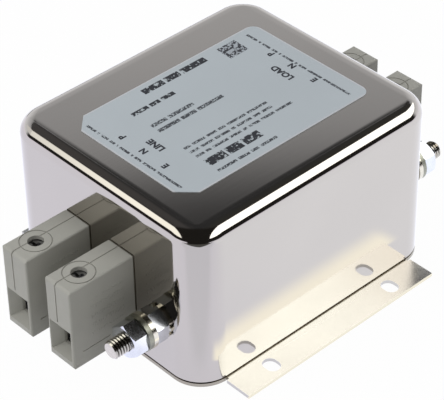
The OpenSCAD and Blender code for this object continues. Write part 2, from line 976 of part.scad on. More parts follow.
can();
base_plate();
rating_label();
at_terminal(LINE, P_SIDE) shell(false, -seam_shift);  // line_p_shell_left
at_terminal(LINE, P_SIDE) shell(true, seam_shift);  // line_p_shell_right
at_terminal(LINE, P_SIDE) clamp_cage();  // line_p_clamp_cage
at_terminal(LINE, P_SIDE) clamp_screw();  // line_p_clamp_screw
at_terminal(LINE, P_SIDE) current_bar();  // line_p_current_bar
at_terminal(LINE, P_SIDE) collar();  // line_p_collar
at_terminal(LINE, P_SIDE) board_link();  // line_p_board_link
at_terminal(LINE, N_SIDE) shell(false, -seam_shift);  // line_n_shell_left
at_terminal(LINE, N_SIDE) shell(true, seam_shift);  // line_n_shell_right
at_terminal(LINE, N_SIDE) clamp_cage();  // line_n_clamp_cage
at_terminal(LINE, N_SIDE) clamp_screw();  // line_n_clamp_screw
at_terminal(LINE, N_SIDE) current_bar();  // line_n_current_bar
at_terminal(LINE, N_SIDE) collar();  // line_n_collar
at_terminal(LINE, N_SIDE) board_link();  // line_n_board_link
at_terminal(LOAD, P_SIDE) shell(false, seam_shift);  // load_p_shell_left
at_terminal(LOAD, P_SIDE) shell(true, -seam_shift);  // load_p_shell_right
at_terminal(LOAD, P_SIDE) clamp_cage();  // load_p_clamp_cage
at_terminal(LOAD, P_SIDE) clamp_screw();  // load_p_clamp_screw
at_terminal(LOAD, P_SIDE) current_bar();  // load_p_current_bar
at_terminal(LOAD, P_SIDE) collar();  // load_p_collar
at_terminal(LOAD, P_SIDE) board_link();  // load_p_board_link
at_terminal(LOAD, N_SIDE) shell(false, seam_shift);  // load_n_shell_left
at_terminal(LOAD, N_SIDE) shell(true, -seam_shift);  // load_n_shell_right
at_terminal(LOAD, N_SIDE) clamp_cage();  // load_n_clamp_cage
at_terminal(LOAD, N_SIDE) clamp_screw();  // load_n_clamp_screw
at_terminal(LOAD, N_SIDE) current_bar();  // load_n_current_bar
at_terminal(LOAD, N_SIDE) collar();  // load_n_collar
at_terminal(LOAD, N_SIDE) board_link();  // load_n_board_link
at_bolt(LINE) earth_bolt();  // line_earth_bolt
at_bolt(LINE) toothed_washer();  // line_toothed_washer
at_bolt(LINE) nut(stack_nut, fixing_nut_turn);  // line_fixing_nut
at_bolt(LINE) flat_washer();  // line_flat_washer
at_bolt(LINE) lock_washer();  // line_lock_washer
at_bolt(LINE) nut(stack_clamp, clamp_nut_turn);  // line_clamp_nut
at_end(LINE, bolt_offset) earth_lead();  // line_earth_lead
at_bolt(LOAD) earth_bolt();  // load_earth_bolt
at_bolt(LOAD) toothed_washer();  // load_toothed_washer
at_bolt(LOAD) nut(stack_nut, fixing_nut_turn);  // load_fixing_nut
at_bolt(LOAD) flat_washer();  // load_flat_washer
at_bolt(LOAD) lock_washer();  // load_lock_washer
at_bolt(LOAD) nut(stack_clamp, clamp_nut_turn);  // load_clamp_nut
at_end(LOAD, bolt_offset) earth_lead();  // load_earth_lead
circuit_board();
board_pillars();
choke_stand();
choke_core();
winding(P_SIDE);  // winding_p
winding(N_SIDE);  // winding_n
x_capacitor(LINE);  // x_capacitor_line
x_capacitor(LOAD);  // x_capacitor_load
y_capacitor(LINE, 0);  // y_capacitor_line_p
y_capacitor(LINE, 1);  // y_capacitor_line_n
y_capacitor(LOAD, 0);  // y_capacitor_load_p
y_capacitor(LOAD, 1);  // y_capacitor_load_n
bleed_resistor();
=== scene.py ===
"""Looks of a single-phase EMI line filter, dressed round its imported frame.

The can, the rating label and the two threaded earth bolts are modelled here
and stand for their plain solids. Every other solid keeps its shape and gets
its own finish. All sizes are in metres.
"""

import json
import logging
import math
from dataclasses import dataclass
from enum import Enum
from typing import Callable

import bmesh
import bpy
from mathutils import Matrix, Vector

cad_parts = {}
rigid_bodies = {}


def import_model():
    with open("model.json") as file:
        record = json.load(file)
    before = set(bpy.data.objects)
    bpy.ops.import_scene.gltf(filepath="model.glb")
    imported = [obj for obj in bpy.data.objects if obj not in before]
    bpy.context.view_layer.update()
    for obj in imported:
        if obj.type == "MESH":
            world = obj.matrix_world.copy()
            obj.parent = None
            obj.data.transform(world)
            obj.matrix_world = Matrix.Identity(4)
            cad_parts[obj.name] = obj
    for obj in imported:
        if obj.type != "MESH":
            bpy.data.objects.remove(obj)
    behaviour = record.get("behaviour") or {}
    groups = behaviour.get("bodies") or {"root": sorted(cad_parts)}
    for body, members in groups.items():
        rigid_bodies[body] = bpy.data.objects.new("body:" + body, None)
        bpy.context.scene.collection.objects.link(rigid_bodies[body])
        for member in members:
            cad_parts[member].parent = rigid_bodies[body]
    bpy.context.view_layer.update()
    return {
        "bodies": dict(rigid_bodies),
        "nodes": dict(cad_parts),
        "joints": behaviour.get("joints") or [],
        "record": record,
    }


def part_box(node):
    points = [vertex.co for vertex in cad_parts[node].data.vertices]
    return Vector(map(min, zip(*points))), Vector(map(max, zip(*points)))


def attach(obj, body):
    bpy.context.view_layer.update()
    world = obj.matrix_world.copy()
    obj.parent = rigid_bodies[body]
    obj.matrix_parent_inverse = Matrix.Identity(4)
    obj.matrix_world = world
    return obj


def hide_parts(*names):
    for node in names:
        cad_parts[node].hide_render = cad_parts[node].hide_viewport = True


LOG = logging.getLogger("line_filter")
MM = 0.001
HAIR = 0.01 * MM
MERGE = 0.001 * MM
ROOT_BODY = "enclosure"

Colour = tuple[float, float, float]
Window = tuple[tuple[float, float], tuple[float, float]]


class End(Enum):
    """The two ends of the filter, with the way each faces along Y."""

    LINE = -1
    LOAD = 1

    @property
    def prefix(self) -> str:
        """The start of this end's node names."""
        return self.name.lower()


class Pole(Enum):
    """The two poles, with the side of the can each is on along X."""

    P = -1
    N = 1

    @property
    def prefix(self) -> str:
        """The part of a node's name that says its pole."""
        return self.name.lower()


# --- Shader maths ---


class Value:
    """A shader socket that can be used in a Python expression."""

    def __init__(self, graph: "Graph", socket: bpy.types.NodeSocket) -> None:
        """Wraps one output socket of a graph."""
        self.graph = graph
        self.socket = socket

    def _math(self, operation: str, first: "Term", second: "Term" = 0.0) -> "Value":
        """Adds a Math node for two numbers or values."""
        return self.graph.node(
            "ShaderNodeMath", {"operation": operation}, {0: first, 1: second}
        )

    def __add__(self, other: "Term") -> "Value":
        """Sum."""
        return self._math("ADD", self, other)

    __radd__ = __add__

    def __sub__(self, other: "Term") -> "Value":
        """Difference."""
        return self._math("SUBTRACT", self, other)

    def __rsub__(self, other: "Term") -> "Value":
        """Difference, with this value taken away."""
        return self._math("SUBTRACT", other, self)

    def __mul__(self, other: "Term") -> "Value":
        """Product."""
        return self._math("MULTIPLY", self, other)

    __rmul__ = __mul__

    def __gt__(self, other: "Term") -> "Value":
        """One where this value is the greater, else nought."""
        return self._math("GREATER_THAN", self, other)

    def __abs__(self) -> "Value":
        """Size without its sign."""
        return self._math("ABSOLUTE", self)

    def most(self, other: "Term") -> "Value":
        """The greater of two values."""
        return self._math("MAXIMUM", self, other)

    def least(self, other: "Term") -> "Value":
        """The smaller of two values."""
        return self._math("MINIMUM", self, other)

    def sine(self) -> "Value":
        """Sine of an angle in radians."""
        return self._math("SINE", self)

    def root(self) -> "Value":
        """Square root."""
        return self._math("SQRT", self)

    def step(self, low: float, high: float) -> "Value":
        """Rises smoothly from nought at low to one at high.

        Args:
            low: Where the rise starts.
            high: Where it ends. Below low, the result falls instead.

        Returns:
            The step as a value.
        """
        if high < low:
            return 1.0 - self.step(high, low)
        return self.graph.node(
            "ShaderNodeMapRange",
            {"interpolation_type": "SMOOTHSTEP"},
            {0: self, 1: low, 2: high, 3: 0.0, 4: 1.0},
        )


Term = Value | float


def rgba(colour: Colour) -> tuple[float, float, float, float]:
    """A colour with full opacity."""
    return (*colour, 1.0)


@dataclass
class Graph:
    """One node tree and the way nodes are added to it."""

    tree: bpy.types.NodeTree

    @classmethod
    def empty(cls, owner: bpy.types.Material | bpy.types.World) -> "Graph":
        """The graph of a new material or world, with nothing in it."""
        owner.use_nodes = True
        owner.node_tree.nodes.clear()
        return cls(owner.node_tree)

    def node(
        self,
        kind: str,
        settings: dict[str, object] | None = None,
        inputs: dict[int | str, object] | None = None,
        output: int | str = 0,
    ) -> Value | None:
        """Adds a node.

        Args:
            kind: The node's type.
            settings: Its settings, set first; stops sets a ramp's colours.
            inputs: A number, colour or value for each socket that is set.
            output: The output socket that is wanted.

        Returns:
            That output as a value, or None for a node without outputs.
        """
        made = self.tree.nodes.new(kind)
        for key, value in (settings or {}).items():
            if key == "stops":
                self._set_stops(made.color_ramp, value)
            else:
                setattr(made, key, value)
        for key, value in (inputs or {}).items():
            if isinstance(value, Value):
                self.tree.links.new(value.socket, made.inputs[key])
            else:
                made.inputs[key].default_value = value
        return Value(self, made.outputs[output]) if made.outputs else None

    @staticmethod
    def _set_stops(
        ramp: bpy.types.ColorRamp, stops: list[tuple[float, Colour]]
    ) -> None:
        """Gives a ramp its colours.

        Args:
            ramp: The ramp of a Color Ramp node.
            stops: The place and colour of each stop, in order.
        """
        while len(ramp.elements) < len(stops):
            ramp.elements.new(1.0)
        for element, (place, colour) in zip(ramp.elements, stops):
            element.position = place
            element.color = rgba(colour)

    def place(self) -> Value:
        """The point on the piece, in its own coordinates."""
        return self.node("ShaderNodeTexCoord", output="Object")

    def parts(self, vector: Value) -> tuple[Value, Value, Value]:
        """The three numbers of a vector.

        Args:
            vector: The vector's value.

        Returns:
            Its x, y and z.
        """
        first = self.node("ShaderNodeSeparateXYZ", {}, {0: vector})
        outputs = first.socket.node.outputs
        return first, Value(self, outputs[1]), Value(self, outputs[2])

    def scaled(self, vector: Value, factors: Colour) -> Value:
        """A vector stretched by one factor along each axis."""
        return self.node(
            "ShaderNodeVectorMath", {"operation": "MULTIPLY"}, {0: vector, 1: factors}
        )

    def noise(self, vector: Value, scale: float, detail: float = 2.0) -> Value:
        """Soft noise from nought to one, with its scale in lumps to the metre."""
        return self.node(
            "ShaderNodeTexNoise",
            {},
            {"Vector": vector, "Scale": scale, "Detail": detail},
        )

    def mix(self, share: Term, first: object, second: object) -> Value:
        """A colour between two others.

        Args:
            share: How much of the second there is.
            first: The first colour or value.
            second: The second colour or value.

        Returns:
            The mixed colour.
        """
        ends = {6: first, 7: second}
        inputs = {k: rgba(v) if isinstance(v, tuple) else v for k, v in ends.items()}
        return self.node(
            "ShaderNodeMix", {"data_type": "RGBA"}, {0: share, **inputs}, output=2
        )


# --- Finishes ---

# Where a patch of noise starts to show, and where it shows in full
PATCH = (0.3, 0.7)
# The share of a narrow band's width over which it shows in full
BAND_CORE = 0.4
COAT_ROUGHNESS = 0.1


@dataclass(frozen=True)
class Finish:
    """A finish with soft mottling, uneven gloss and a fine grain."""

    name: str
    colour: Colour
    roughness: float
    metallic: float = 0.0
    mottle: float = 0.06
    mottle_scale: float = 70.0
    gloss_spread: float = 0.06
    grain_scale: float = 1500.0
    grain_depth: float = 0.00001
    stretch: Colour = (1.0, 1.0, 1.0)
    coat: float = 0.0
    specular: float = 0.5

    def paint(self, graph: Graph, place: Value) -> Value:
        """Colour over the surface.

        Args:
            graph: The material's graph.
            place: The point on the piece.

        Returns:
            The colour, a little lighter and darker in soft patches.
        """
        lumps = graph.noise(place, self.mottle_scale, 3.0)
        dark = tuple(c * (1.0 - self.mottle) for c in self.colour)
        light = tuple(min(1.0, c * (1.0 + self.mottle)) for c in self.colour)
        return graph.mix(lumps.step(*PATCH), dark, light)

    def relief(self, graph: Graph, place: Value) -> Value:
        """Height of the surface, from nought to one."""
        return graph.noise(graph.scaled(place, self.stretch), self.grain_scale, 2.0)

    def material(self) -> bpy.types.Material:
        """The finish as a material, made once."""
        name = f"{self.name}_finish"
        known = bpy.data.materials.get(name)
        if known is not None:
            return known
        material = bpy.data.materials.new(name)
        graph = Graph.empty(material)
        place = graph.place()
        gloss = graph.noise(graph.scaled(place, self.stretch), self.mottle_scale, 2.0)
        bump = graph.node(
            "ShaderNodeBump",
            {},
            {
                "Strength": 1.0,
                "Distance": self.grain_depth,
                "Height": self.relief(graph, place),
            },
        )
        low = max(0.0, self.roughness - self.gloss_spread)
        shader = graph.node(
            "ShaderNodeBsdfPrincipled",
            {},
            {
                "Base Color": self.paint(graph, place),
                "Metallic": self.metallic,
                "Roughness": gloss * (2.0 * (self.roughness - low)) + low,
                "Coat Weight": self.coat,
                "Coat Roughness": COAT_ROUGHNESS,
                "Specular IOR Level": self.specular,
                "Normal": bump,
            },
        )
        graph.node("ShaderNodeOutputMaterial", {}, {"Surface": shader})
        return material


@dataclass(frozen=True)
class PlatedSheet(Finish):
    """Bright nickel plate on drawn or rolled sheet."""

    wave_scale: float = 18.0
    wave_share: float = 0.9

    def relief(self, graph: Graph, place: Value) -> Value:
        """Long soft waves of the sheet with fine rolling lines on them."""
        lines = graph.noise(graph.scaled(place, self.stretch), self.grain_scale, 2.0)
        waves = graph.noise(place, self.wave_scale, 1.0)
        return waves * self.wave_share + lines * (1.0 - self.wave_share)


@dataclass(frozen=True)
class CanPlate(PlatedSheet):
    """The can's plate, with painted shade along its foot where it meets the base."""

    foot: float = 1.7 * MM
    foot_edge: float = 0.3 * MM
    # Painted shade of the gap where the can's foot meets the base
    foot_colour: Colour = (0.14, 0.12, 0.10)
    flat_width: float = 37.25 * MM
    flat_length: float = 44.5 * MM
    easing: float = 1.6 * MM
    easing_drop: float = 3.0

    def paint(self, graph: Graph, place: Value) -> Value:
        """Plate colour, with painted shade in a narrow band along the foot."""
        _, _, z = graph.parts(place)
        # Painted shade in a narrow band along the foot
        return graph.mix(
            z.step(self.foot, self.foot - self.foot_edge),
            super().paint(graph, place),
            self.foot_colour,
        )

    def relief(self, graph: Graph, place: Value) -> Value:
        """The sheet's waves, with the flat top easing into its rounded edge."""
        x, y, _ = graph.parts(place)
        past = (abs(x) - self.flat_width).most(abs(y) - self.flat_length)
        share = ((past + self.easing) * (1.0 / self.easing)).most(0.0).least(1.0)
        return super().relief(graph, place) - share * share * self.easing_drop


@dataclass(frozen=True)
class BasePlate(PlatedSheet):
    """The base's plate, with painted shade along the can and speckled at one end."""

    half_width: float = 42.25 * MM
    half_length: float = 49.5 * MM
    corner_radius: float = 11.0 * MM
    thickness: float = 1.2 * MM
    seam: float = 0.5 * MM
    # Painted shade of the gap along the can's foot
    seam_colour: Colour = (0.37, 0.34, 0.275)
    side_colour: Colour = (0.52, 0.50, 0.46)
    worn_colour: Colour = (0.53, 0.485, 0.44)
    worn_from: float = 0.0
    worn_to: float = 42.0 * MM
    worn_share: float = 0.55
    speck_share: float = 0.95
    speck_scale: float = 2200.0
    patch_scale: float = 160.0

    def paint(self, graph: Graph, place: Value) -> Value:
        """Plate colour with painted shade in a band along the can's foot, dull cut
        sides and a worn end.
        """
        x, y, z = graph.parts(place)
        inner_width = self.half_width - self.corner_radius
        inner_length = self.half_length - self.corner_radius
        over_x = (abs(x) - inner_width).most(0.0)
        over_y = (abs(y) - inner_length).most(0.0)
        away = (over_x * over_x + over_y * over_y).root() - self.corner_radius
        specks = graph.noise(place, self.speck_scale, 3.0).step(0.45, 0.70)
        patches = graph.noise(place, self.patch_scale, 2.0).step(0.35, 0.62)
        worn = (specks * patches * self.speck_share).most(self.worn_share)
        worn = worn * y.step(self.worn_from, self.worn_to)
        plate = graph.mix(worn, super().paint(graph, place), self.worn_colour)
        cut = z.step(self.thickness, self.thickness * 0.9)
        plate = graph.mix(cut, plate, self.side_colour)
        # Painted shade in a narrow band along the can's foot
        seam = away.step(self.seam, self.seam * BAND_CORE)
        return graph.mix(seam, plate, self.seam_colour)


@dataclass(frozen=True)
class ThreadPlate(Finish):
    """Plate on a thread, with painted shade down in its grooves."""

    axis_x: float = 25.95 * MM
    axis_z: float = 20.0 * MM
    tip: float = 68.7 * MM
    tip_edge: float = 0.2 * MM
    root_radius: float = 2.62 * MM
    crest_radius: float = 2.88 * MM
    # Painted shade in the thread's grooves
    groove_colour: Colour = (0.125, 0.12, 0.10)

    def paint(self, graph: Graph, place: Value) -> Value:
        """Plate colour on the crests and painted shade in the grooves."""
        x, y, z = graph.parts(place)
        across, rise = x - self.axis_x, z - self.axis_z
        radius = (across * across + rise * rise).root()
        tip = abs(y).step(self.tip - 2 * self.tip_edge, self.tip - self.tip_edge)
        # Painted shade where the radius falls toward the thread's root
        return graph.mix(
            radius.step(self.root_radius, self.crest_radius).most(tip),
            self.groove_colour,
            super().paint(graph, place),
        )


@dataclass(frozen=True)
class PrintInk(Finish):
    """Ink broken up by film, as a word is between its strokes."""

    stroke_scale: float = 2400.0
    breaks: float = 0.53
    break_edge: float = 0.09
    film: Colour = (0.46, 0.51, 0.54)

    def paint(self, graph: Graph, place: Value) -> Value:
        """Ink with small patches of film showing."""
        gaps = graph.noise(place, self.stroke_scale, 1.0)
        gaps = gaps.step(self.breaks, self.breaks + self.break_edge)
        return graph.mix(gaps, super().paint(graph, place), self.film)


@dataclass(frozen=True)
class MouldedPlastic(Finish):
    """Moulded plastic with faint raised bars on its sides, and painted shade by the
    can.
    """

    middle: float = 9.75 * MM
    half_width: float = 4.2 * MM
    side_edge: float = 0.8 * MM
    can_face: float = 49.5 * MM
    # Painted shade that grows toward the can's face
    shade: Colour = (0.20, 0.20, 0.175)
    shade_share: float = 0.15
    shade_reach: float = 20.0 * MM
    bars_out: tuple[float, float] = (53.5 * MM, 66.5 * MM)
    bars_up: tuple[float, float] = (17.5 * MM, 31.5 * MM)
    bars_edge: float = 0.3 * MM
    row_pitch: float = 3.4 * MM
    bar_scale: float = 1500.0
    bar_height: float = 9.0

    def paint(self, graph: Graph, place: Value) -> Value:
        """Plastic colour, with painted shade toward the can."""
        _, y, _ = graph.parts(place)
        # Painted shade, from nought away from the can to full at its face
        near = abs(y).step(self.can_face + self.shade_reach, self.can_face)
        return graph.mix(
            near * self.shade_share, super().paint(graph, place), self.shade
        )

    def relief(self, graph: Graph, place: Value) -> Value:
        """Fine grain with rows of small bars on the two wide sides."""
        x, y, z = graph.parts(place)
        side = abs(abs(x) - self.middle).step(
            self.half_width, self.half_width + self.side_edge
        )
        field_share = self._within(abs(y), self.bars_out)
        height = self._within(z, self.bars_up)
        rows = (z * (2.0 * math.pi / self.row_pitch)).sine().step(0.1, 0.3)
        bars = graph.noise(graph.scaled(place, (0.0, 1.0, 0.4)), self.bar_scale, 0.0)
        marks = side * field_share * rows * height * bars.step(0.5, 0.56)
        return super().relief(graph, place) + marks * self.bar_height

    def _within(self, value: Value, span: tuple[float, float]) -> Value:
        """One well inside a span, falling to nought at its ends."""
        low, high = span
        rise = value.step(low, low + self.bars_edge)
        return rise * value.step(high, high - self.bars_edge)


@dataclass(frozen=True)
class CodeField(Finish):
    """Print in small square cells, each dark or left pale."""

    cell: float = 0.45 * MM
    pale: Colour = (0.40, 0.44, 0.48)
    dark_share: float = 0.55

    def paint(self, graph: Graph, place: Value) -> Value:
        """Dark and pale cells in no set order."""
        cells = graph.node(
            "ShaderNodeVectorMath",
            {"operation": "SNAP"},
            {0: place, 1: (self.cell, self.cell, 1.0)},
        )
        chance = graph.node("ShaderNodeTexWhiteNoise", {}, {"Vector": cells})
        pale = chance > self.dark_share
        return graph.mix(pale, super().paint(graph, place), self.pale)


@dataclass(frozen=True)
class PrintedFilm(Finish):
    """Label film, paler along its cut edge."""

    edge_colour: Colour = (0.58, 0.60, 0.63)
    half_width: float = 25.6 * MM
    half_length: float = 37.8 * MM
    edge: float = 0.7 * MM

    def paint(self, graph: Graph, place: Value) -> Value:
        """Film colour, paler in a narrow band along the edge."""
        x, y, _ = graph.parts(place)
        inside = (self.half_width - abs(x)).least(self.half_length - abs(y))
        return graph.mix(
            inside.step(self.edge, self.edge * BAND_CORE),
            super().paint(graph, place),
            self.edge_colour,
        )


@dataclass(frozen=True)
class BandedFinish(Finish):
    """Insulation in two colours that run along the wire."""

    second: Colour = (0.75, 0.62, 0.08)
    band: float = 0.9 * MM

    def paint(self, graph: Graph, place: Value) -> Value:
        """Two colours side by side along Y and Z."""
        x, _, _ = graph.parts(place)
        stripe = (x * (math.pi / self.band)).sine().step(-0.1, 0.1)
        return graph.mix(stripe, super().paint(graph, place), self.second)


@dataclass(frozen=True)
class BoardFinish(Finish):
    """Coated laminate with paler tracks under the coating."""

    track: Colour = (0.10, 0.30, 0.14)
    track_pitch: float = 6.0 * MM

    def paint(self, graph: Graph, place: Value) -> Value:
        """Board colour with tracks in one direction."""
        x, _, _ = graph.parts(place)
        tracks = (x * (2.0 * math.pi / self.track_pitch)).sine().step(0.2, 0.4)
        return graph.mix(tracks, super().paint(graph, place), self.track)


CAN_PLATE = CanPlate(
    "bright_nickel_can", (0.50, 0.469, 0.425), 0.07, 1.0, 0.012, 25.0, 0.02,
    900.0, 0.000010, (1.0, 0.08, 1.0),
)
FLANGE_PLATE = BasePlate(
    "bright_nickel_flange", (0.745, 0.75, 0.71), 0.28, 1.0, 0.03, 60.0, 0.06,
    900.0, 0.000004, (1.0, 0.08, 1.0),
)
LABEL_FILM = PrintedFilm(
    "label_film", (0.505, 0.555, 0.59), 0.50, 0.0, 0.02, 30.0, 0.05, 2500.0,
    0.000002, specular=0.15,
)
LABEL_INK = Finish("label_ink", (0.020, 0.022, 0.030), 0.5, 0.0, 0.2, 400.0)
LABEL_BOLD_INK = PrintInk(
    "label_bold_ink", (0.018, 0.020, 0.026), 0.5, 0.0, 0.2, 400.0, stroke_scale=1100.0,
    breaks=0.56,
)
LABEL_FINE_INK = PrintInk("label_fine_ink", (0.05, 0.055, 0.065), 0.5, 0.0, 0.2, 400.0)
LABEL_CODE = CodeField("label_code", (0.035, 0.037, 0.045), 0.5, 0.0, 0.2, 400.0)
BLOCK_PLASTIC = MouldedPlastic(
    "block_plastic", (0.44, 0.435, 0.395), 0.50, 0.0, 0.03, 120.0, 0.06, 4000.0,
    0.000012, specular=0.2,
)
COLLAR_PLASTIC = Finish(
    "collar_plastic", (0.05, 0.05, 0.052), 0.55, 0.0, 0.05, 150.0, 0.06, 3000.0
)
CLAMP_STEEL = Finish(
    "clamp_steel", (0.62, 0.62, 0.62), 0.30, 1.0, 0.06, 300.0, 0.10, 5000.0, 0.000006,
    (1.0, 1.0, 0.1),
)
SCREW_STEEL = Finish(
    "screw_steel", (0.52, 0.52, 0.53), 0.34, 1.0, 0.10, 500.0, 0.10, 5000.0, 0.000006
)
TINNED_COPPER = Finish(
    "tinned_copper", (0.72, 0.66, 0.58), 0.32, 1.0, 0.06, 300.0, 0.10, 4000.0, 0.000006
)
BOLT_PLATE = ThreadPlate(
    "bolt_plate", (0.60, 0.565, 0.50), 0.18, 1.0, 0.05, 600.0, 0.06, 5000.0, 0.000004
)
NUT_ZINC = Finish(
    "nut_zinc", (0.70, 0.72, 0.75), 0.17, 1.0, 0.05, 350.0, 0.06, 4500.0, 0.000005
)
WASHER_STEEL = Finish(
    "washer_steel", (0.70, 0.665, 0.56), 0.20, 1.0, 0.05, 400.0, 0.10, 5000.0, 0.000006
)
SPRING_STEEL = Finish(
    "spring_steel", (0.33, 0.33, 0.27), 0.42, 1.0, 0.12, 500.0, 0.10, 4000.0, 0.000010
)
EARTH_WIRE = BandedFinish("earth_wire", (0.10, 0.30, 0.08), 0.40)
BOARD_LAMINATE = BoardFinish("board_laminate", (0.04, 0.16, 0.06), 0.30, coat=0.5)
PILLAR_NYLON = Finish("pillar_nylon", (0.80, 0.80, 0.76), 0.45, grain_scale=3000.0)
CORE_COATING = Finish("core_coating", (0.06, 0.07, 0.065), 0.55, mottle=0.15)
WIRE_ENAMEL = Finish(
    "wire_enamel", (0.52, 0.20, 0.08), 0.22, 0.85, 0.08, 200.0, 0.05, coat=0.6
)
X_CAP_CASE = Finish("x_cap_case", (0.55, 0.42, 0.06), 0.28, mottle=0.04)
Y_CAP_CASE = Finish("y_cap_case", (0.05, 0.16, 0.42), 0.28, mottle=0.04)
RESISTOR_LACQUER = Finish("resistor_lacquer", (0.50, 0.38, 0.22), 0.35, mottle=0.10)

BOLT_FITTINGS = {
    "fixing_nut": NUT_ZINC, "clamp_nut": NUT_ZINC,
    "flat_washer": WASHER_STEEL, "toothed_washer": WASHER_STEEL,
    "lock_washer": SPRING_STEEL, "earth_lead": EARTH_WIRE,
}
TERMINAL_PARTS = {
    "shell_left": BLOCK_PLASTIC, "shell_right": BLOCK_PLASTIC,
    "clamp_cage": CLAMP_STEEL, "clamp_screw": SCREW_STEEL,
    "current_bar": TINNED_COPPER, "collar": COLLAR_PLASTIC,
    "board_link": TINNED_COPPER,
}
CIRCUIT_PARTS = {
    "circuit_board": BOARD_LAMINATE, "board_pillars": PILLAR_NYLON,
    "choke_stand": COLLAR_PLASTIC, "choke_core": CORE_COATING,
    "winding_p": WIRE_ENAMEL, "winding_n": WIRE_ENAMEL,
    "x_capacitor_line": X_CAP_CASE, "x_capacitor_load": X_CAP_CASE,
    "y_capacitor_line_p": Y_CAP_CASE, "y_capacitor_line_n": Y_CAP_CASE,
    "y_capacitor_load_p": Y_CAP_CASE, "y_capacitor_load_n": Y_CAP_CASE,
    "bleed_resistor": RESISTOR_LACQUER,
}


def dress(frame: dict, finishes: dict[str, Finish], prefix: str = "") -> None:
    """Gives CAD nodes their finishes.

    Args:
        finishes: Each node's finish, by its name without the prefix.
        prefix: The start of every name.
    """
    for name, finish in finishes.items():
        mesh = frame["nodes"][prefix + name].data
        mesh.materials.clear()
        mesh.materials.append(finish.material())
        LOG.info("dressed %s%s in %s", prefix, name, finish.name)


# --- Modelling ---


def deselect_all() -> None:
    """Leaves nothing selected, in object mode."""
    if bpy.context.object and bpy.context.object.mode != "OBJECT":
        bpy.ops.object.mode_set(mode="OBJECT")
    bpy.ops.object.select_all(action="DESELECT")


def activate(piece: bpy.types.Object) -> None:
    """Selects one piece alone and makes it the active one."""
    deselect_all()
    piece.select_set(True)
    bpy.context.view_layer.objects.active = piece


def settle() -> None:
    """Puts the selected piece's place, turn and scale into its mesh."""
    bpy.ops.object.transform_apply(location=True, rotation=True, scale=True)


def edit(piece: bpy.types.Object) -> None:
    """Opens a piece in edit mode, with nothing in it selected."""
    activate(piece)
    bpy.ops.object.mode_set(mode="EDIT")
    bpy.ops.mesh.select_all(action="DESELECT")


def pick(piece: bpy.types.Object, kind: str, wanted: Callable[..., bool]) -> None:
    """Selects points, edges or faces of a piece that is open in edit mode.

    Args:
        piece: The piece.
        kind: VERT, EDGE or FACE.
        wanted: Says of one of them whether it is selected.
    """
    bpy.ops.mesh.select_mode(type=kind)
    opened = bmesh.from_edit_mesh(piece.data)
    items = {"VERT": opened.verts, "EDGE": opened.edges, "FACE": opened.faces}[kind]
    for item in items:
        if wanted(item):
            item.select = True
    opened.select_flush_mode()
    bmesh.update_edit_mesh(piece.data)


def pick_edges(
    piece: bpy.types.Object, test: Callable[[Vector, Vector], bool]
) -> None:
    """Selects those edges alone whose two ends pass a test."""
    bpy.ops.mesh.select_all(action="DESELECT")
    pick(piece, "EDGE", lambda edge: test(edge.verts[0].co, edge.verts[1].co))


def block_between(name: str, low: Vector, high: Vector) -> bpy.types.Object:
    """Adds a block that fills a box, with its place in its mesh.

    Args:
        name: The new piece's name.
        low: The box's lowest corner.
        high: Its highest corner.

    Returns:
        The block.
    """
    deselect_all()
    bpy.ops.mesh.primitive_cube_add(size=1.0, location=(low + high) / 2)
    piece = bpy.context.object
    piece.name = name
    piece.scale = high - low
    settle()
    return piece


def apply_modifier(
    piece: bpy.types.Object, kind: str, settings: dict[str, object]
) -> None:
    """Adds a modifier and applies it.

    Args:
        piece: The piece it works on.
        kind: The modifier's type.
        settings: Its settings.
    """
    activate(piece)
    modifier = piece.modifiers.new(kind.lower(), kind)
    for key, value in settings.items():
        setattr(modifier, key, value)
    bpy.ops.object.modifier_apply(modifier=modifier.name)


def join(pieces: list[bpy.types.Object], name: str) -> bpy.types.Object:
    """Joins pieces into the first of them.

    Args:
        pieces: The pieces.
        name: The joined piece's name.

    Returns:
        The joined piece.
    """
    deselect_all()
    for piece in pieces:
        piece.select_set(True)
    bpy.context.view_layer.objects.active = pieces[0]
    bpy.ops.object.join()
    pieces[0].name = name
    return pieces[0]


def smooth(piece: bpy.types.Object, degrees: float) -> None:
    """Shades a piece smooth, apart from edges sharper than an angle."""
    activate(piece)
    bpy.ops.object.shade_smooth_by_angle(angle=math.radians(degrees))


def finish_piece(
    piece: bpy.types.Object, finish: Finish, body: str, slot: str, *stands_for: str
) -> None:
    """Gives a new piece its material and body.

    Args:
        piece: The new piece.
        finish: Its finish.
        body: The CAD body it rides on.
        slot: Not used.
        *stands_for: The CAD nodes that it replaces.
    """
    piece.data.materials.clear()
    piece.data.materials.append(finish.material())
    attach(piece, body)
    if stands_for:
        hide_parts(*stands_for)
    LOG.info("made %s: %d faces", piece.name, len(piece.data.polygons))


# --- Can ---


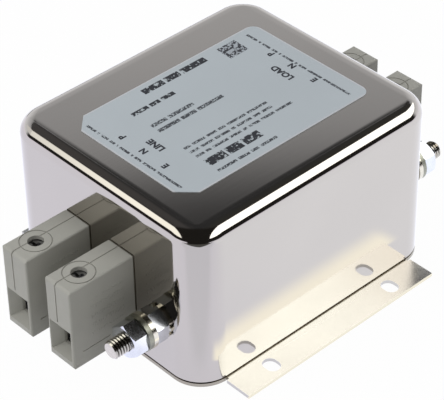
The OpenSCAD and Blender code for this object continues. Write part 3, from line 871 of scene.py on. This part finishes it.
@dataclass
class Can:
    """The drawn can, modelled smooth enough for a mirror."""

    frame: dict
    corner_radius: float = 11.0 * MM
    top_radius: float = 5.0 * MM
    rim_chamfer: float = 0.6 * MM
    wall: float = 1.0 * MM
    corner_steps: int = 32
    top_steps: int = 20
    crease: float = 30.0

    def build(self) -> None:
        """Makes the can's skin and dresses the base plate."""
        low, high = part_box("can")
        skin = block_between("can_skin", low, high)
        edit(skin)
        pick_edges(skin, lambda a, b: abs(a.z - b.z) > 0.5 * (high.z - low.z))
        bpy.ops.mesh.bevel(
            offset=self.corner_radius, segments=self.corner_steps, profile=0.5
        )
        floor = low.z + HAIR
        pick_edges(skin, lambda a, b: a.z < floor and b.z < floor)
        bpy.ops.mesh.bevel(offset=self.rim_chamfer, segments=1)
        bpy.ops.mesh.select_all(action="DESELECT")
        pick(skin, "FACE", lambda face: face.normal.z < -0.9)
        bpy.ops.mesh.delete(type="FACE")
        rim = high.z - HAIR
        pick_edges(skin, lambda a, b: a.z > rim and b.z > rim)
        bpy.ops.mesh.bevel(offset=self.top_radius, segments=self.top_steps, profile=0.5)
        bpy.ops.object.mode_set(mode="OBJECT")
        apply_modifier(skin, "SOLIDIFY", {"thickness": self.wall, "offset": -1.0})
        smooth(skin, self.crease)
        apply_modifier(skin, "WEIGHTED_NORMAL", {"keep_sharp": True, "weight": 100})
        finish_piece(skin, CAN_PLATE, ROOT_BODY, "can_steel", "can")
        dress(self.frame, {"base_plate": FLANGE_PLATE})


# --- Rating label ---


@dataclass(frozen=True)
class PrintLine:
    """A line of print along Y or X, shown as plain word shapes."""

    middle: float
    start: float
    stop: float
    height: float
    words: tuple[float, ...]
    fine: bool = True
    along_x: bool = False

    def spans(self, gap: float) -> list[tuple[Vector, Vector]]:
        """Where the words lie.

        Args:
            gap: The space between two words.

        Returns:
            The low and high corner of each word in the label's plane.
        """
        share = self.stop - self.start - gap * (len(self.words) - 1)
        share /= sum(self.words)
        low, high = self.middle - self.height / 2, self.middle + self.height / 2
        found = []
        at = self.start
        for word in self.words:
            corners = [(low, at), (high, at + word * share)]
            if self.along_x:
                corners = [(along, across) for across, along in corners]
            found.append(tuple(Vector((*corner, 0.0)) * MM for corner in corners))
            at += word * share + gap
        return found


# Lengths of the words in the small note along each end of the label
NOTE_WORDS = (3.0, 0.5, 2.2, 1.5, 0.4, 3.0, 0.5, 2.0, 3.8, 7.4)


@dataclass
class RatingLabel:
    """The film on the can's top, with its generic marks."""

    chamfer: float = 5.4 * MM
    radius: float = 3.5 * MM
    round_steps: int = 10
    crease: float = 20.0
    ink: float = 0.02 * MM
    stroke_weight: float = 0.15 * MM
    word_gap: float = 0.9
    marks: tuple[tuple[str, float, float, float], ...] = (
        ("LINE", 0.4, -26.6, 3.2), ("P", -9.4, -31.0, 3.0), ("N", 0.1, -31.1, 3.0),
        ("E", 9.8, -31.3, 3.0), ("LOAD", -0.1, 25.6, 3.2), ("P", -9.7, 30.2, 3.0),
        ("N", -0.6, 30.3, 3.0), ("E", 9.4, 29.9, 3.0),
    )
    lines: tuple[PrintLine, ...] = (
        PrintLine(-22.0, -11.9, 13.7, 2.6, (5.0, 3.4, 6.0), False),
        PrintLine(-15.5, -21.9, -5.1, 1.7, (5.0, 3.0, 4.0), False),
        PrintLine(-7.3, -21.5, -4.8, 1.5, (3.0, 5.0)),
        PrintLine(-4.1, -21.6, 4.3, 1.5, (5.0, 3.4, 6.0)),
        PrintLine(7.5, -22.0, 11.4, 1.0, (2.0, 4.0, 3.0, 2.2, 6.0, 6.5)),
        PrintLine(10.1, -22.0, 11.0, 1.0, (3.0, 4.2, 5.0, 1.2, 5.0, 2.4, 3.4)),
        PrintLine(12.75, -22.0, 16.8, 1.0, (2.4, 1.4, 4.6, 3.4, 1.2, 3.2, 4.0, 5.0)),
        PrintLine(22.0, -22.0, 1.6, 1.1, (5.2, 3.0, 2.0, 4.6)),
        PrintLine(17.2, -21.8, -0.6, 3.4, (5.4, 4.2, 5.0), False),
        PrintLine(-34.9, -21.1, 20.5, 0.9, NOTE_WORDS, along_x=True),
        PrintLine(32.1, -22.6, 22.3, 0.9, NOTE_WORDS, along_x=True),
    )
    code_low: tuple[float, float] = (-23.3, 19.6)
    code_high: tuple[float, float] = (-16.6, 27.2)

    def build(self) -> None:
        """Makes the film and the print on it."""
        low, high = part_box("rating_label")
        film = self._film(low, Vector((high.x, high.y, high.z - self.ink)))
        finish_piece(film, LABEL_FILM, ROOT_BODY, "label_film", "rating_label")
        self._marks(high.z - self.ink)
        self._words(high.z - self.ink)

    def _film(self, low: Vector, high: Vector) -> bpy.types.Object:
        """The film with its chamfers at one end and rounds at the other.

        Args:
            low: The film's lowest corner.
            high: Its highest corner.

        Returns:
            The film.
        """
        film = block_between("label_sheet", low, high)
        edit(film)
        pick_edges(film, lambda a, b: abs(a.z - b.z) > 0 and max(a.y, b.y) < 0)
        bpy.ops.mesh.bevel(offset=self.chamfer, segments=1)
        far = high.y * 0.9
        pick_edges(film, lambda a, b: abs(a.z - b.z) > 0 and min(a.y, b.y) > far)
        bpy.ops.mesh.bevel(offset=self.radius, segments=self.round_steps)
        bpy.ops.object.mode_set(mode="OBJECT")
        smooth(film, self.crease)
        return film

    def _marks(self, top: float) -> None:
        """The marks that name the ends and the terminals."""
        letters = []
        for text, x, y, height in self.marks:
            deselect_all()
            bpy.ops.object.text_add(location=(0.0, 0.0, 0.0))
            item = bpy.context.object
            item.data.body = text
            item.data.size = height * MM
            item.data.align_x = "CENTER"
            item.data.align_y = "CENTER"
            item.data.extrude = self.ink / 2
            item.data.offset = self.stroke_weight
            bpy.ops.object.convert(target="MESH")
            item = bpy.context.object
            item.location = (x * MM, y * MM, top + self.ink / 2)
            item.rotation_euler = (0.0, 0.0, math.pi)
            settle()
            letters.append(item)
        marks = join(letters, "label_marks")
        finish_piece(marks, LABEL_INK, ROOT_BODY, "label_film")

    def _words(self, top: float) -> None:
        """The other print, as plain word shapes."""
        for fine, name, finish in (
            (False, "label_headings", LABEL_BOLD_INK),
            (True, "label_rows", LABEL_FINE_INK),
        ):
            shapes = []
            for line in (item for item in self.lines if item.fine is fine):
                for low, high in line.spans(self.word_gap):
                    low.z, high.z = top, top + self.ink
                    shapes.append(block_between("word", low, high))
            finish_piece(join(shapes, name), finish, ROOT_BODY, "label_film")
        low = Vector((*(n * MM for n in self.code_low), top))
        high = Vector((*(n * MM for n in self.code_high), top + self.ink))
        code = block_between("label_code_field", low, high)
        finish_piece(code, LABEL_CODE, ROOT_BODY, "label_film")


# --- Earth bolts ---


@dataclass
class EarthBolt:
    """One threaded earth bolt with its hexagon head inside the can."""

    end: End
    frame: dict
    radius: float = 3.0 * MM
    pitch: float = 1.0 * MM
    depth: float = 0.5 * MM
    chamfer: float = 0.6 * MM
    head_height: float = 4.0 * MM
    head_chamfer: float = 0.25 * MM
    trim: float = 0.2 * MM
    spare_turns: int = 3
    steps: int = 36
    crease: float = 35.0

    def build(self) -> None:
        """Makes the bolt and dresses the nuts and washers on it."""
        node = f"{self.end.prefix}_earth_bolt"
        low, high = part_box(node)
        axis_z = (low.z + high.z) / 2
        shank = self._thread(self.radius, high.y - low.y - self.head_height)
        head = self._head(high.z - axis_z)
        bolt = join([shank, head], f"{node}_threaded")
        seat = (
            low.y + self.head_height
            if self.end is End.LOAD
            else high.y - self.head_height
        )
        middle = Vector(((low.x + high.x) / 2, seat, axis_z))
        turn = Matrix.Rotation(-self.end.value * math.pi / 2, 4, "X")
        bolt.matrix_world = Matrix.Translation(middle) @ turn
        activate(bolt)
        settle()
        smooth(bolt, self.crease)
        finish_piece(bolt, BOLT_PLATE, ROOT_BODY, "bolt_steel", node)
        dress(self.frame, BOLT_FITTINGS, f"{self.end.prefix}_")

    def _thread(self, radius: float, length: float) -> bpy.types.Object:
        """The threaded shank, standing on the origin along Z.

        Args:
            radius: The thread's outer radius.
            length: The shank's length.

        Returns:
            The shank, closed at both ends.
        """
        deselect_all()
        bpy.ops.mesh.primitive_plane_add(
            size=math.sqrt(2.0), rotation=(math.pi / 2, math.pi / 4, 0.0)
        )
        shank = bpy.context.object
        settle()
        edit(shank)
        pick(shank, "VERT", lambda point: point.co.x < -0.5)
        bpy.ops.mesh.delete(type="VERT")
        bpy.ops.mesh.select_all(action="SELECT")
        bpy.ops.transform.resize(
            value=(self.depth, 1.0, self.pitch / 2), center_override=(0.0, 0.0, 0.0)
        )
        bpy.ops.transform.translate(
            value=(radius - self.depth, 0.0, -1.5 * self.pitch)
        )
        bpy.ops.object.mode_set(mode="OBJECT")
        turns = math.ceil(length / self.pitch) + self.spare_turns
        apply_modifier(
            shank,
            "SCREW",
            {
                "axis": "Z",
                "angle": 2.0 * math.pi,
                "screw_offset": self.pitch,
                "iterations": turns,
                "steps": self.steps,
                "render_steps": self.steps,
                "use_merge_vertices": True,
                "merge_threshold": MERGE,
            },
        )
        edit(shank)
        bpy.ops.mesh.select_all(action="SELECT")
        bpy.ops.mesh.remove_doubles(threshold=MERGE)
        for place, way in ((-self.trim, 1.0), (length + self.trim, -1.0)):
            bpy.ops.mesh.select_all(action="SELECT")
            bpy.ops.mesh.bisect(
                plane_co=(0.0, 0.0, place), plane_no=(0.0, 0.0, way),
                use_fill=True, clear_inner=True,
            )
        bpy.ops.mesh.select_all(action="SELECT")
        bpy.ops.mesh.normals_make_consistent(inside=False)
        bpy.ops.object.mode_set(mode="OBJECT")
        form = self._tapered_form(radius, length)
        apply_modifier(
            shank,
            "BOOLEAN",
            {"operation": "INTERSECT", "object": form, "solver": "EXACT"},
        )
        bpy.data.objects.remove(form)
        return shank

    def _tapered_form(self, radius: float, length: float) -> bpy.types.Object:
        """A plain shank with a chamfered tip, which trims the thread.

        Args:
            radius: The thread's outer radius.
            length: The shank's length.

        Returns:
            The form.
        """
        deselect_all()
        bpy.ops.mesh.primitive_cylinder_add(
            vertices=self.steps * 2, radius=radius + HAIR, depth=length,
            location=(0.0, 0.0, length / 2),
        )
        form = bpy.context.object
        settle()
        edit(form)
        tip = length - HAIR
        pick_edges(form, lambda a, b: a.z > tip and b.z > tip)
        bpy.ops.mesh.bevel(offset=self.chamfer, segments=1)
        bpy.ops.object.mode_set(mode="OBJECT")
        return form

    def _head(self, radius: float) -> bpy.types.Object:
        """The hexagon head, below the origin.

        Args:
            radius: How far the head reaches from the axis.

        Returns:
            The head.
        """
        deselect_all()
        bpy.ops.mesh.primitive_cylinder_add(
            vertices=6, radius=radius, depth=self.head_height,
            location=(0.0, 0.0, -self.head_height / 2),
        )
        head = bpy.context.object
        settle()
        edit(head)
        bpy.ops.mesh.select_all(action="SELECT")
        bpy.ops.mesh.bevel(offset=self.head_chamfer, segments=2)
        bpy.ops.object.mode_set(mode="OBJECT")
        return head


# --- Terminal blocks and the circuit ---


@dataclass
class TerminalBlock:
    """One feed-through terminal with its captive clamp."""

    end: End
    pole: Pole
    frame: dict

    def build(self) -> None:
        """Dresses the terminal's pieces."""
        dress(self.frame, TERMINAL_PARTS, f"{self.end.prefix}_{self.pole.prefix}_")


@dataclass
class FilterCircuit:
    """The board, the choke and the capacitors inside the can."""

    frame: dict

    def build(self) -> None:
        """Dresses the circuit's pieces."""
        dress(self.frame, CIRCUIT_PARTS)


# --- Studio ---


@dataclass(frozen=True)
class SoftLamp:
    """A square lamp that faces the origin and doesn't show in the metal."""

    name: str
    place: Vector
    size: float
    power: float

    def build(self) -> None:
        """Adds the lamp."""
        data = bpy.data.lights.new(self.name, "AREA")
        data.shape = "SQUARE"
        data.size = self.size
        data.energy = self.power
        lamp = bpy.data.objects.new(self.name, data)
        bpy.context.scene.collection.objects.link(lamp)
        turn = self.place.to_track_quat("Z", "Y").to_matrix().to_4x4()
        lamp.matrix_world = Matrix.Translation(self.place) @ turn
        lamp.visible_glossy = False


# Height and grey of each shade of the backdrop, from low to high
BACKDROP_SHADES = (
    (0.0, 0.02), (0.05, 0.90), (0.30, 0.75), (0.545, 0.49), (0.562, 0.455),
    (0.572, 0.415), (0.585, 0.385), (0.596, 0.355), (0.605, 0.270), (0.609, 0.212),
    (0.614, 0.150), (0.6175, 0.108), (0.6225, 0.062), (0.627, 0.044), (0.645, 0.034),
)


@dataclass
class Studio:
    """Floor, surroundings, lamps and camera.

    A window is a patch of the floor, or of the surroundings, with soft edges:
    where it starts and is full along one way, and then along the other.
    """

    place: Vector = Vector((0.36886, -0.33923, 0.42076))
    right: Vector = Vector((0.68432, 0.72905, -0.01369))
    up: Vector = Vector((-0.44655, 0.43383, 0.78254))
    lens: float = 167.7
    sensor: float = 36.0
    gain: float = 1.264
    fill: float = 0.45
    floor_size: float = 4.0
    floor_colour: Colour = (0.80, 0.80, 0.80)
    white: Colour = (1.0, 1.0, 1.0)
    seen_white: float = 0.98
    mirrored_glow: float = 0.85
    paper_back: Colour = (1.10, 1.13, 1.25)
    # Painted shade on the paper toward the front, seen in the metal
    paper_front: Colour = (0.97, 0.98, 1.15)
    front: tuple[float, float] = (0.02, -0.06)
    # Painted shade on the paper in the corner that the can's corner mirrors
    corner: Window = ((0.036, 0.052), (-0.044, -0.060))
    corner_paper: Colour = (0.86, 0.88, 1.02)
    beyond_paper: Window = ((0.130, 0.145), (-0.118, -0.133))
    beyond_colour: Colour = (0.03, 0.03, 0.028)
    # Painted glow on the floor beside the flange, seen only in the metal
    flange_inner: tuple[float, float] = (0.0515, 0.0525)
    flange_outer: tuple[float, float] = (0.0625, 0.0545)
    flange_ends: tuple[float, float] = (0.047, 0.040)
    flange_glow: Colour = (1.55, 1.52, 1.38)
    room: Colour = (0.016, 0.015, 0.014)
    backdrop_from: tuple[float, float] = (0.05, 0.35)
    backdrop_tint: Colour = (1.0, 1.02, 1.09)
    backdrop_slope: float = 0.058
    haze_height: tuple[float, float] = (0.625, 0.64)
    left_haze: tuple[float, float] = (-0.08, -0.30)
    left_haze_colour: Colour = (0.070, 0.068, 0.070)
    right_haze: tuple[float, float] = (0.05, 0.30)
    right_haze_colour: Colour = (0.038, 0.038, 0.036)
    low_left: Window = ((-0.45, -0.55), (0.13, 0.08))
    low_right: Window = ((0.45, 0.55), (0.07, 0.03))
    low_colour: Colour = (0.95, 0.93, 1.08)
    right_box: Window = ((0.50, 0.54), (0.41, 0.45))
    right_box_colour: Colour = (2.35, 2.35, 2.35)
    left_box: Window = ((-0.68, -0.72), (0.35, 0.39))
    left_box_turn: tuple[float, float] = (-0.70, -0.59)
    left_box_far: Colour = (0.80, 0.80, 0.80)
    left_box_near: Colour = (1.50, 1.50, 1.42)
    lamps: tuple[SoftLamp, ...] = (
        SoftLamp("key", Vector((-0.35, -0.75, 0.75)), 0.6, 3.6),
        SoftLamp("top", Vector((0.05, 0.1, 0.95)), 0.7, 1.6),
    )

    def build(self) -> None:
        """Makes the whole studio."""
        self._camera()
        self._floor()
        self._world()
        for lamp in self.lamps:
            lamp.build()
        bpy.context.scene.view_settings.view_transform = "Standard"

    def _camera(self) -> None:
        """The camera, at the product's three-quarter view."""
        data = bpy.data.cameras.new("camera")
        data.lens = self.lens
        data.sensor_width = self.sensor
        data.sensor_fit = "HORIZONTAL"
        data.clip_start = 0.01
        camera = bpy.data.objects.new("camera", data)
        bpy.context.scene.collection.objects.link(camera)
        right = self.right.normalized()
        back = right.cross(self.up).normalized()
        up = back.cross(right)
        turn = Matrix((right, up, back)).transposed().to_4x4()
        camera.matrix_world = Matrix.Translation(self.place) @ turn
        bpy.context.scene.camera = camera

    def _floor(self) -> None:
        """A pale table: white to the eye, paper with an edge to the metal, with painted
        shade toward the front and in one corner and a painted glow beside the flange.
        """
        deselect_all()
        bpy.ops.mesh.primitive_plane_add(size=self.floor_size)
        floor = bpy.context.object
        floor.name = "floor"
        settle()
        material = bpy.data.materials.new("floor_paper")
        graph = Graph.empty(material)
        x, y, _ = graph.parts(graph.place())
        # Painted shade on the paper toward the front
        paper = graph.mix(y.step(*self.front), self.paper_back, self.paper_front)
        # Painted shade on the paper in one corner
        paper = graph.mix(self._window(x, y, self.corner), paper, self.corner_paper)
        # Painted glow in a strip of floor just outside the flange's edge
        beside = x.step(*self.flange_outer) * x.step(*self.flange_inner)
        beside = beside * abs(y).step(*self.flange_ends)
        paper = graph.mix(beside, paper, self.flange_glow)
        sheet = 1.0 - self._window(x, y, self.beyond_paper)
        paper = graph.mix(sheet, self.beyond_colour, paper)
        matt = graph.node(
            "ShaderNodeBsdfDiffuse", {}, {"Color": rgba(self.floor_colour)}
        )
        glow = graph.node(
            "ShaderNodeEmission", {}, {"Color": paper, "Strength": self.gain}
        )
        white = graph.node(
            "ShaderNodeEmission", {}, {"Color": rgba(self.white), "Strength": 1.0}
        )
        path = graph.node("ShaderNodeLightPath", output="Is Camera Ray")
        mirror = self._first_mirror(graph, path)
        seen = graph.node(
            "ShaderNodeMixShader", {}, {0: path * self.seen_white, 1: matt, 2: white}
        )
        share = mirror * self.mirrored_glow
        both = graph.node("ShaderNodeMixShader", {}, {0: share, 1: seen, 2: glow})
        graph.node("ShaderNodeOutputMaterial", {}, {"Surface": both})
        floor.data.materials.append(material)

    @staticmethod
    def _window(first: Value, second: Value, window: Window) -> Value:
        """One in a window, falling to nought outside it."""
        return first.step(*window[0]) * second.step(*window[1])

    @staticmethod
    def _first_mirror(graph: Graph, path: Value) -> Value:
        """One for what the metal mirrors, nought where that lights matt faces.

        Args:
            graph: The graph of the floor or the surroundings.
            path: An output of its Light Path node.

        Returns:
            The share as a value.
        """
        outputs = path.socket.node.outputs
        scattered = Value(graph, outputs["Diffuse Depth"]) > 0.5
        return Value(graph, outputs["Is Glossy Ray"]) * (1.0 - scattered)

    def _world(self) -> None:
        """White behind the object, and soft boxes for the metal to mirror."""
        world = bpy.data.worlds.new("studio")
        bpy.context.scene.world = world
        graph = Graph.empty(world)
        x, y, z = graph.parts(graph.node("ShaderNodeTexCoord", output="Generated"))
        across = x * self.right.x + y * self.right.y
        toward = x * (-self.right.y) + y * self.right.x
        stops = [
            (at, tuple(tone * tint for tint in self.backdrop_tint))
            for at, tone in BACKDROP_SHADES
        ]
        height = z + across * self.backdrop_slope
        backdrop = graph.node("ShaderNodeValToRGB", {"stops": stops}, {0: height})
        behind = toward.step(*self.backdrop_from)
        seen = graph.mix(behind, self.room, backdrop)
        haze = z.step(*self.haze_height) * behind
        seen = graph.mix(
            haze * across.step(*self.left_haze), seen, self.left_haze_colour
        )
        seen = graph.mix(
            haze * across.step(*self.right_haze), seen, self.right_haze_colour
        )
        low_left = self._window(across, z, self.low_left)
        low_right = self._window(across, z, self.low_right)
        seen = graph.mix(low_left.most(low_right), seen, self.low_colour)
        left_box = graph.mix(
            x.step(*self.left_box_turn), self.left_box_far, self.left_box_near
        )
        seen = graph.mix(self._window(across, z, self.left_box), seen, left_box)
        right_box = self._window(across, z, self.right_box)
        seen = graph.mix(right_box, seen, self.right_box_colour)
        path = graph.node("ShaderNodeLightPath", output="Is Camera Ray")
        mirror = self._first_mirror(graph, path)
        level = graph.mix(mirror, tuple(self.fill for _ in range(3)), seen)
        colour = graph.mix(path, level, self.white)
        strength = mirror * (self.gain - 1.0) + 1.0
        light = graph.node("ShaderNodeBackground", {}, {0: colour, 1: strength})
        graph.node("ShaderNodeOutputWorld", {}, {"Surface": light})


def main() -> None:
    """Builds the scene in order."""
    logging.basicConfig(level=logging.INFO, format="%(name)s: %(message)s")
    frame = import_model()
    Studio().build()
    Can(frame).build()
    RatingLabel().build()
    for end in End:
        EarthBolt(end, frame).build()
        for pole in Pole:
            TerminalBlock(end, pole, frame).build()
    FilterCircuit(frame).build()


if __name__ == "__main__":
    main()
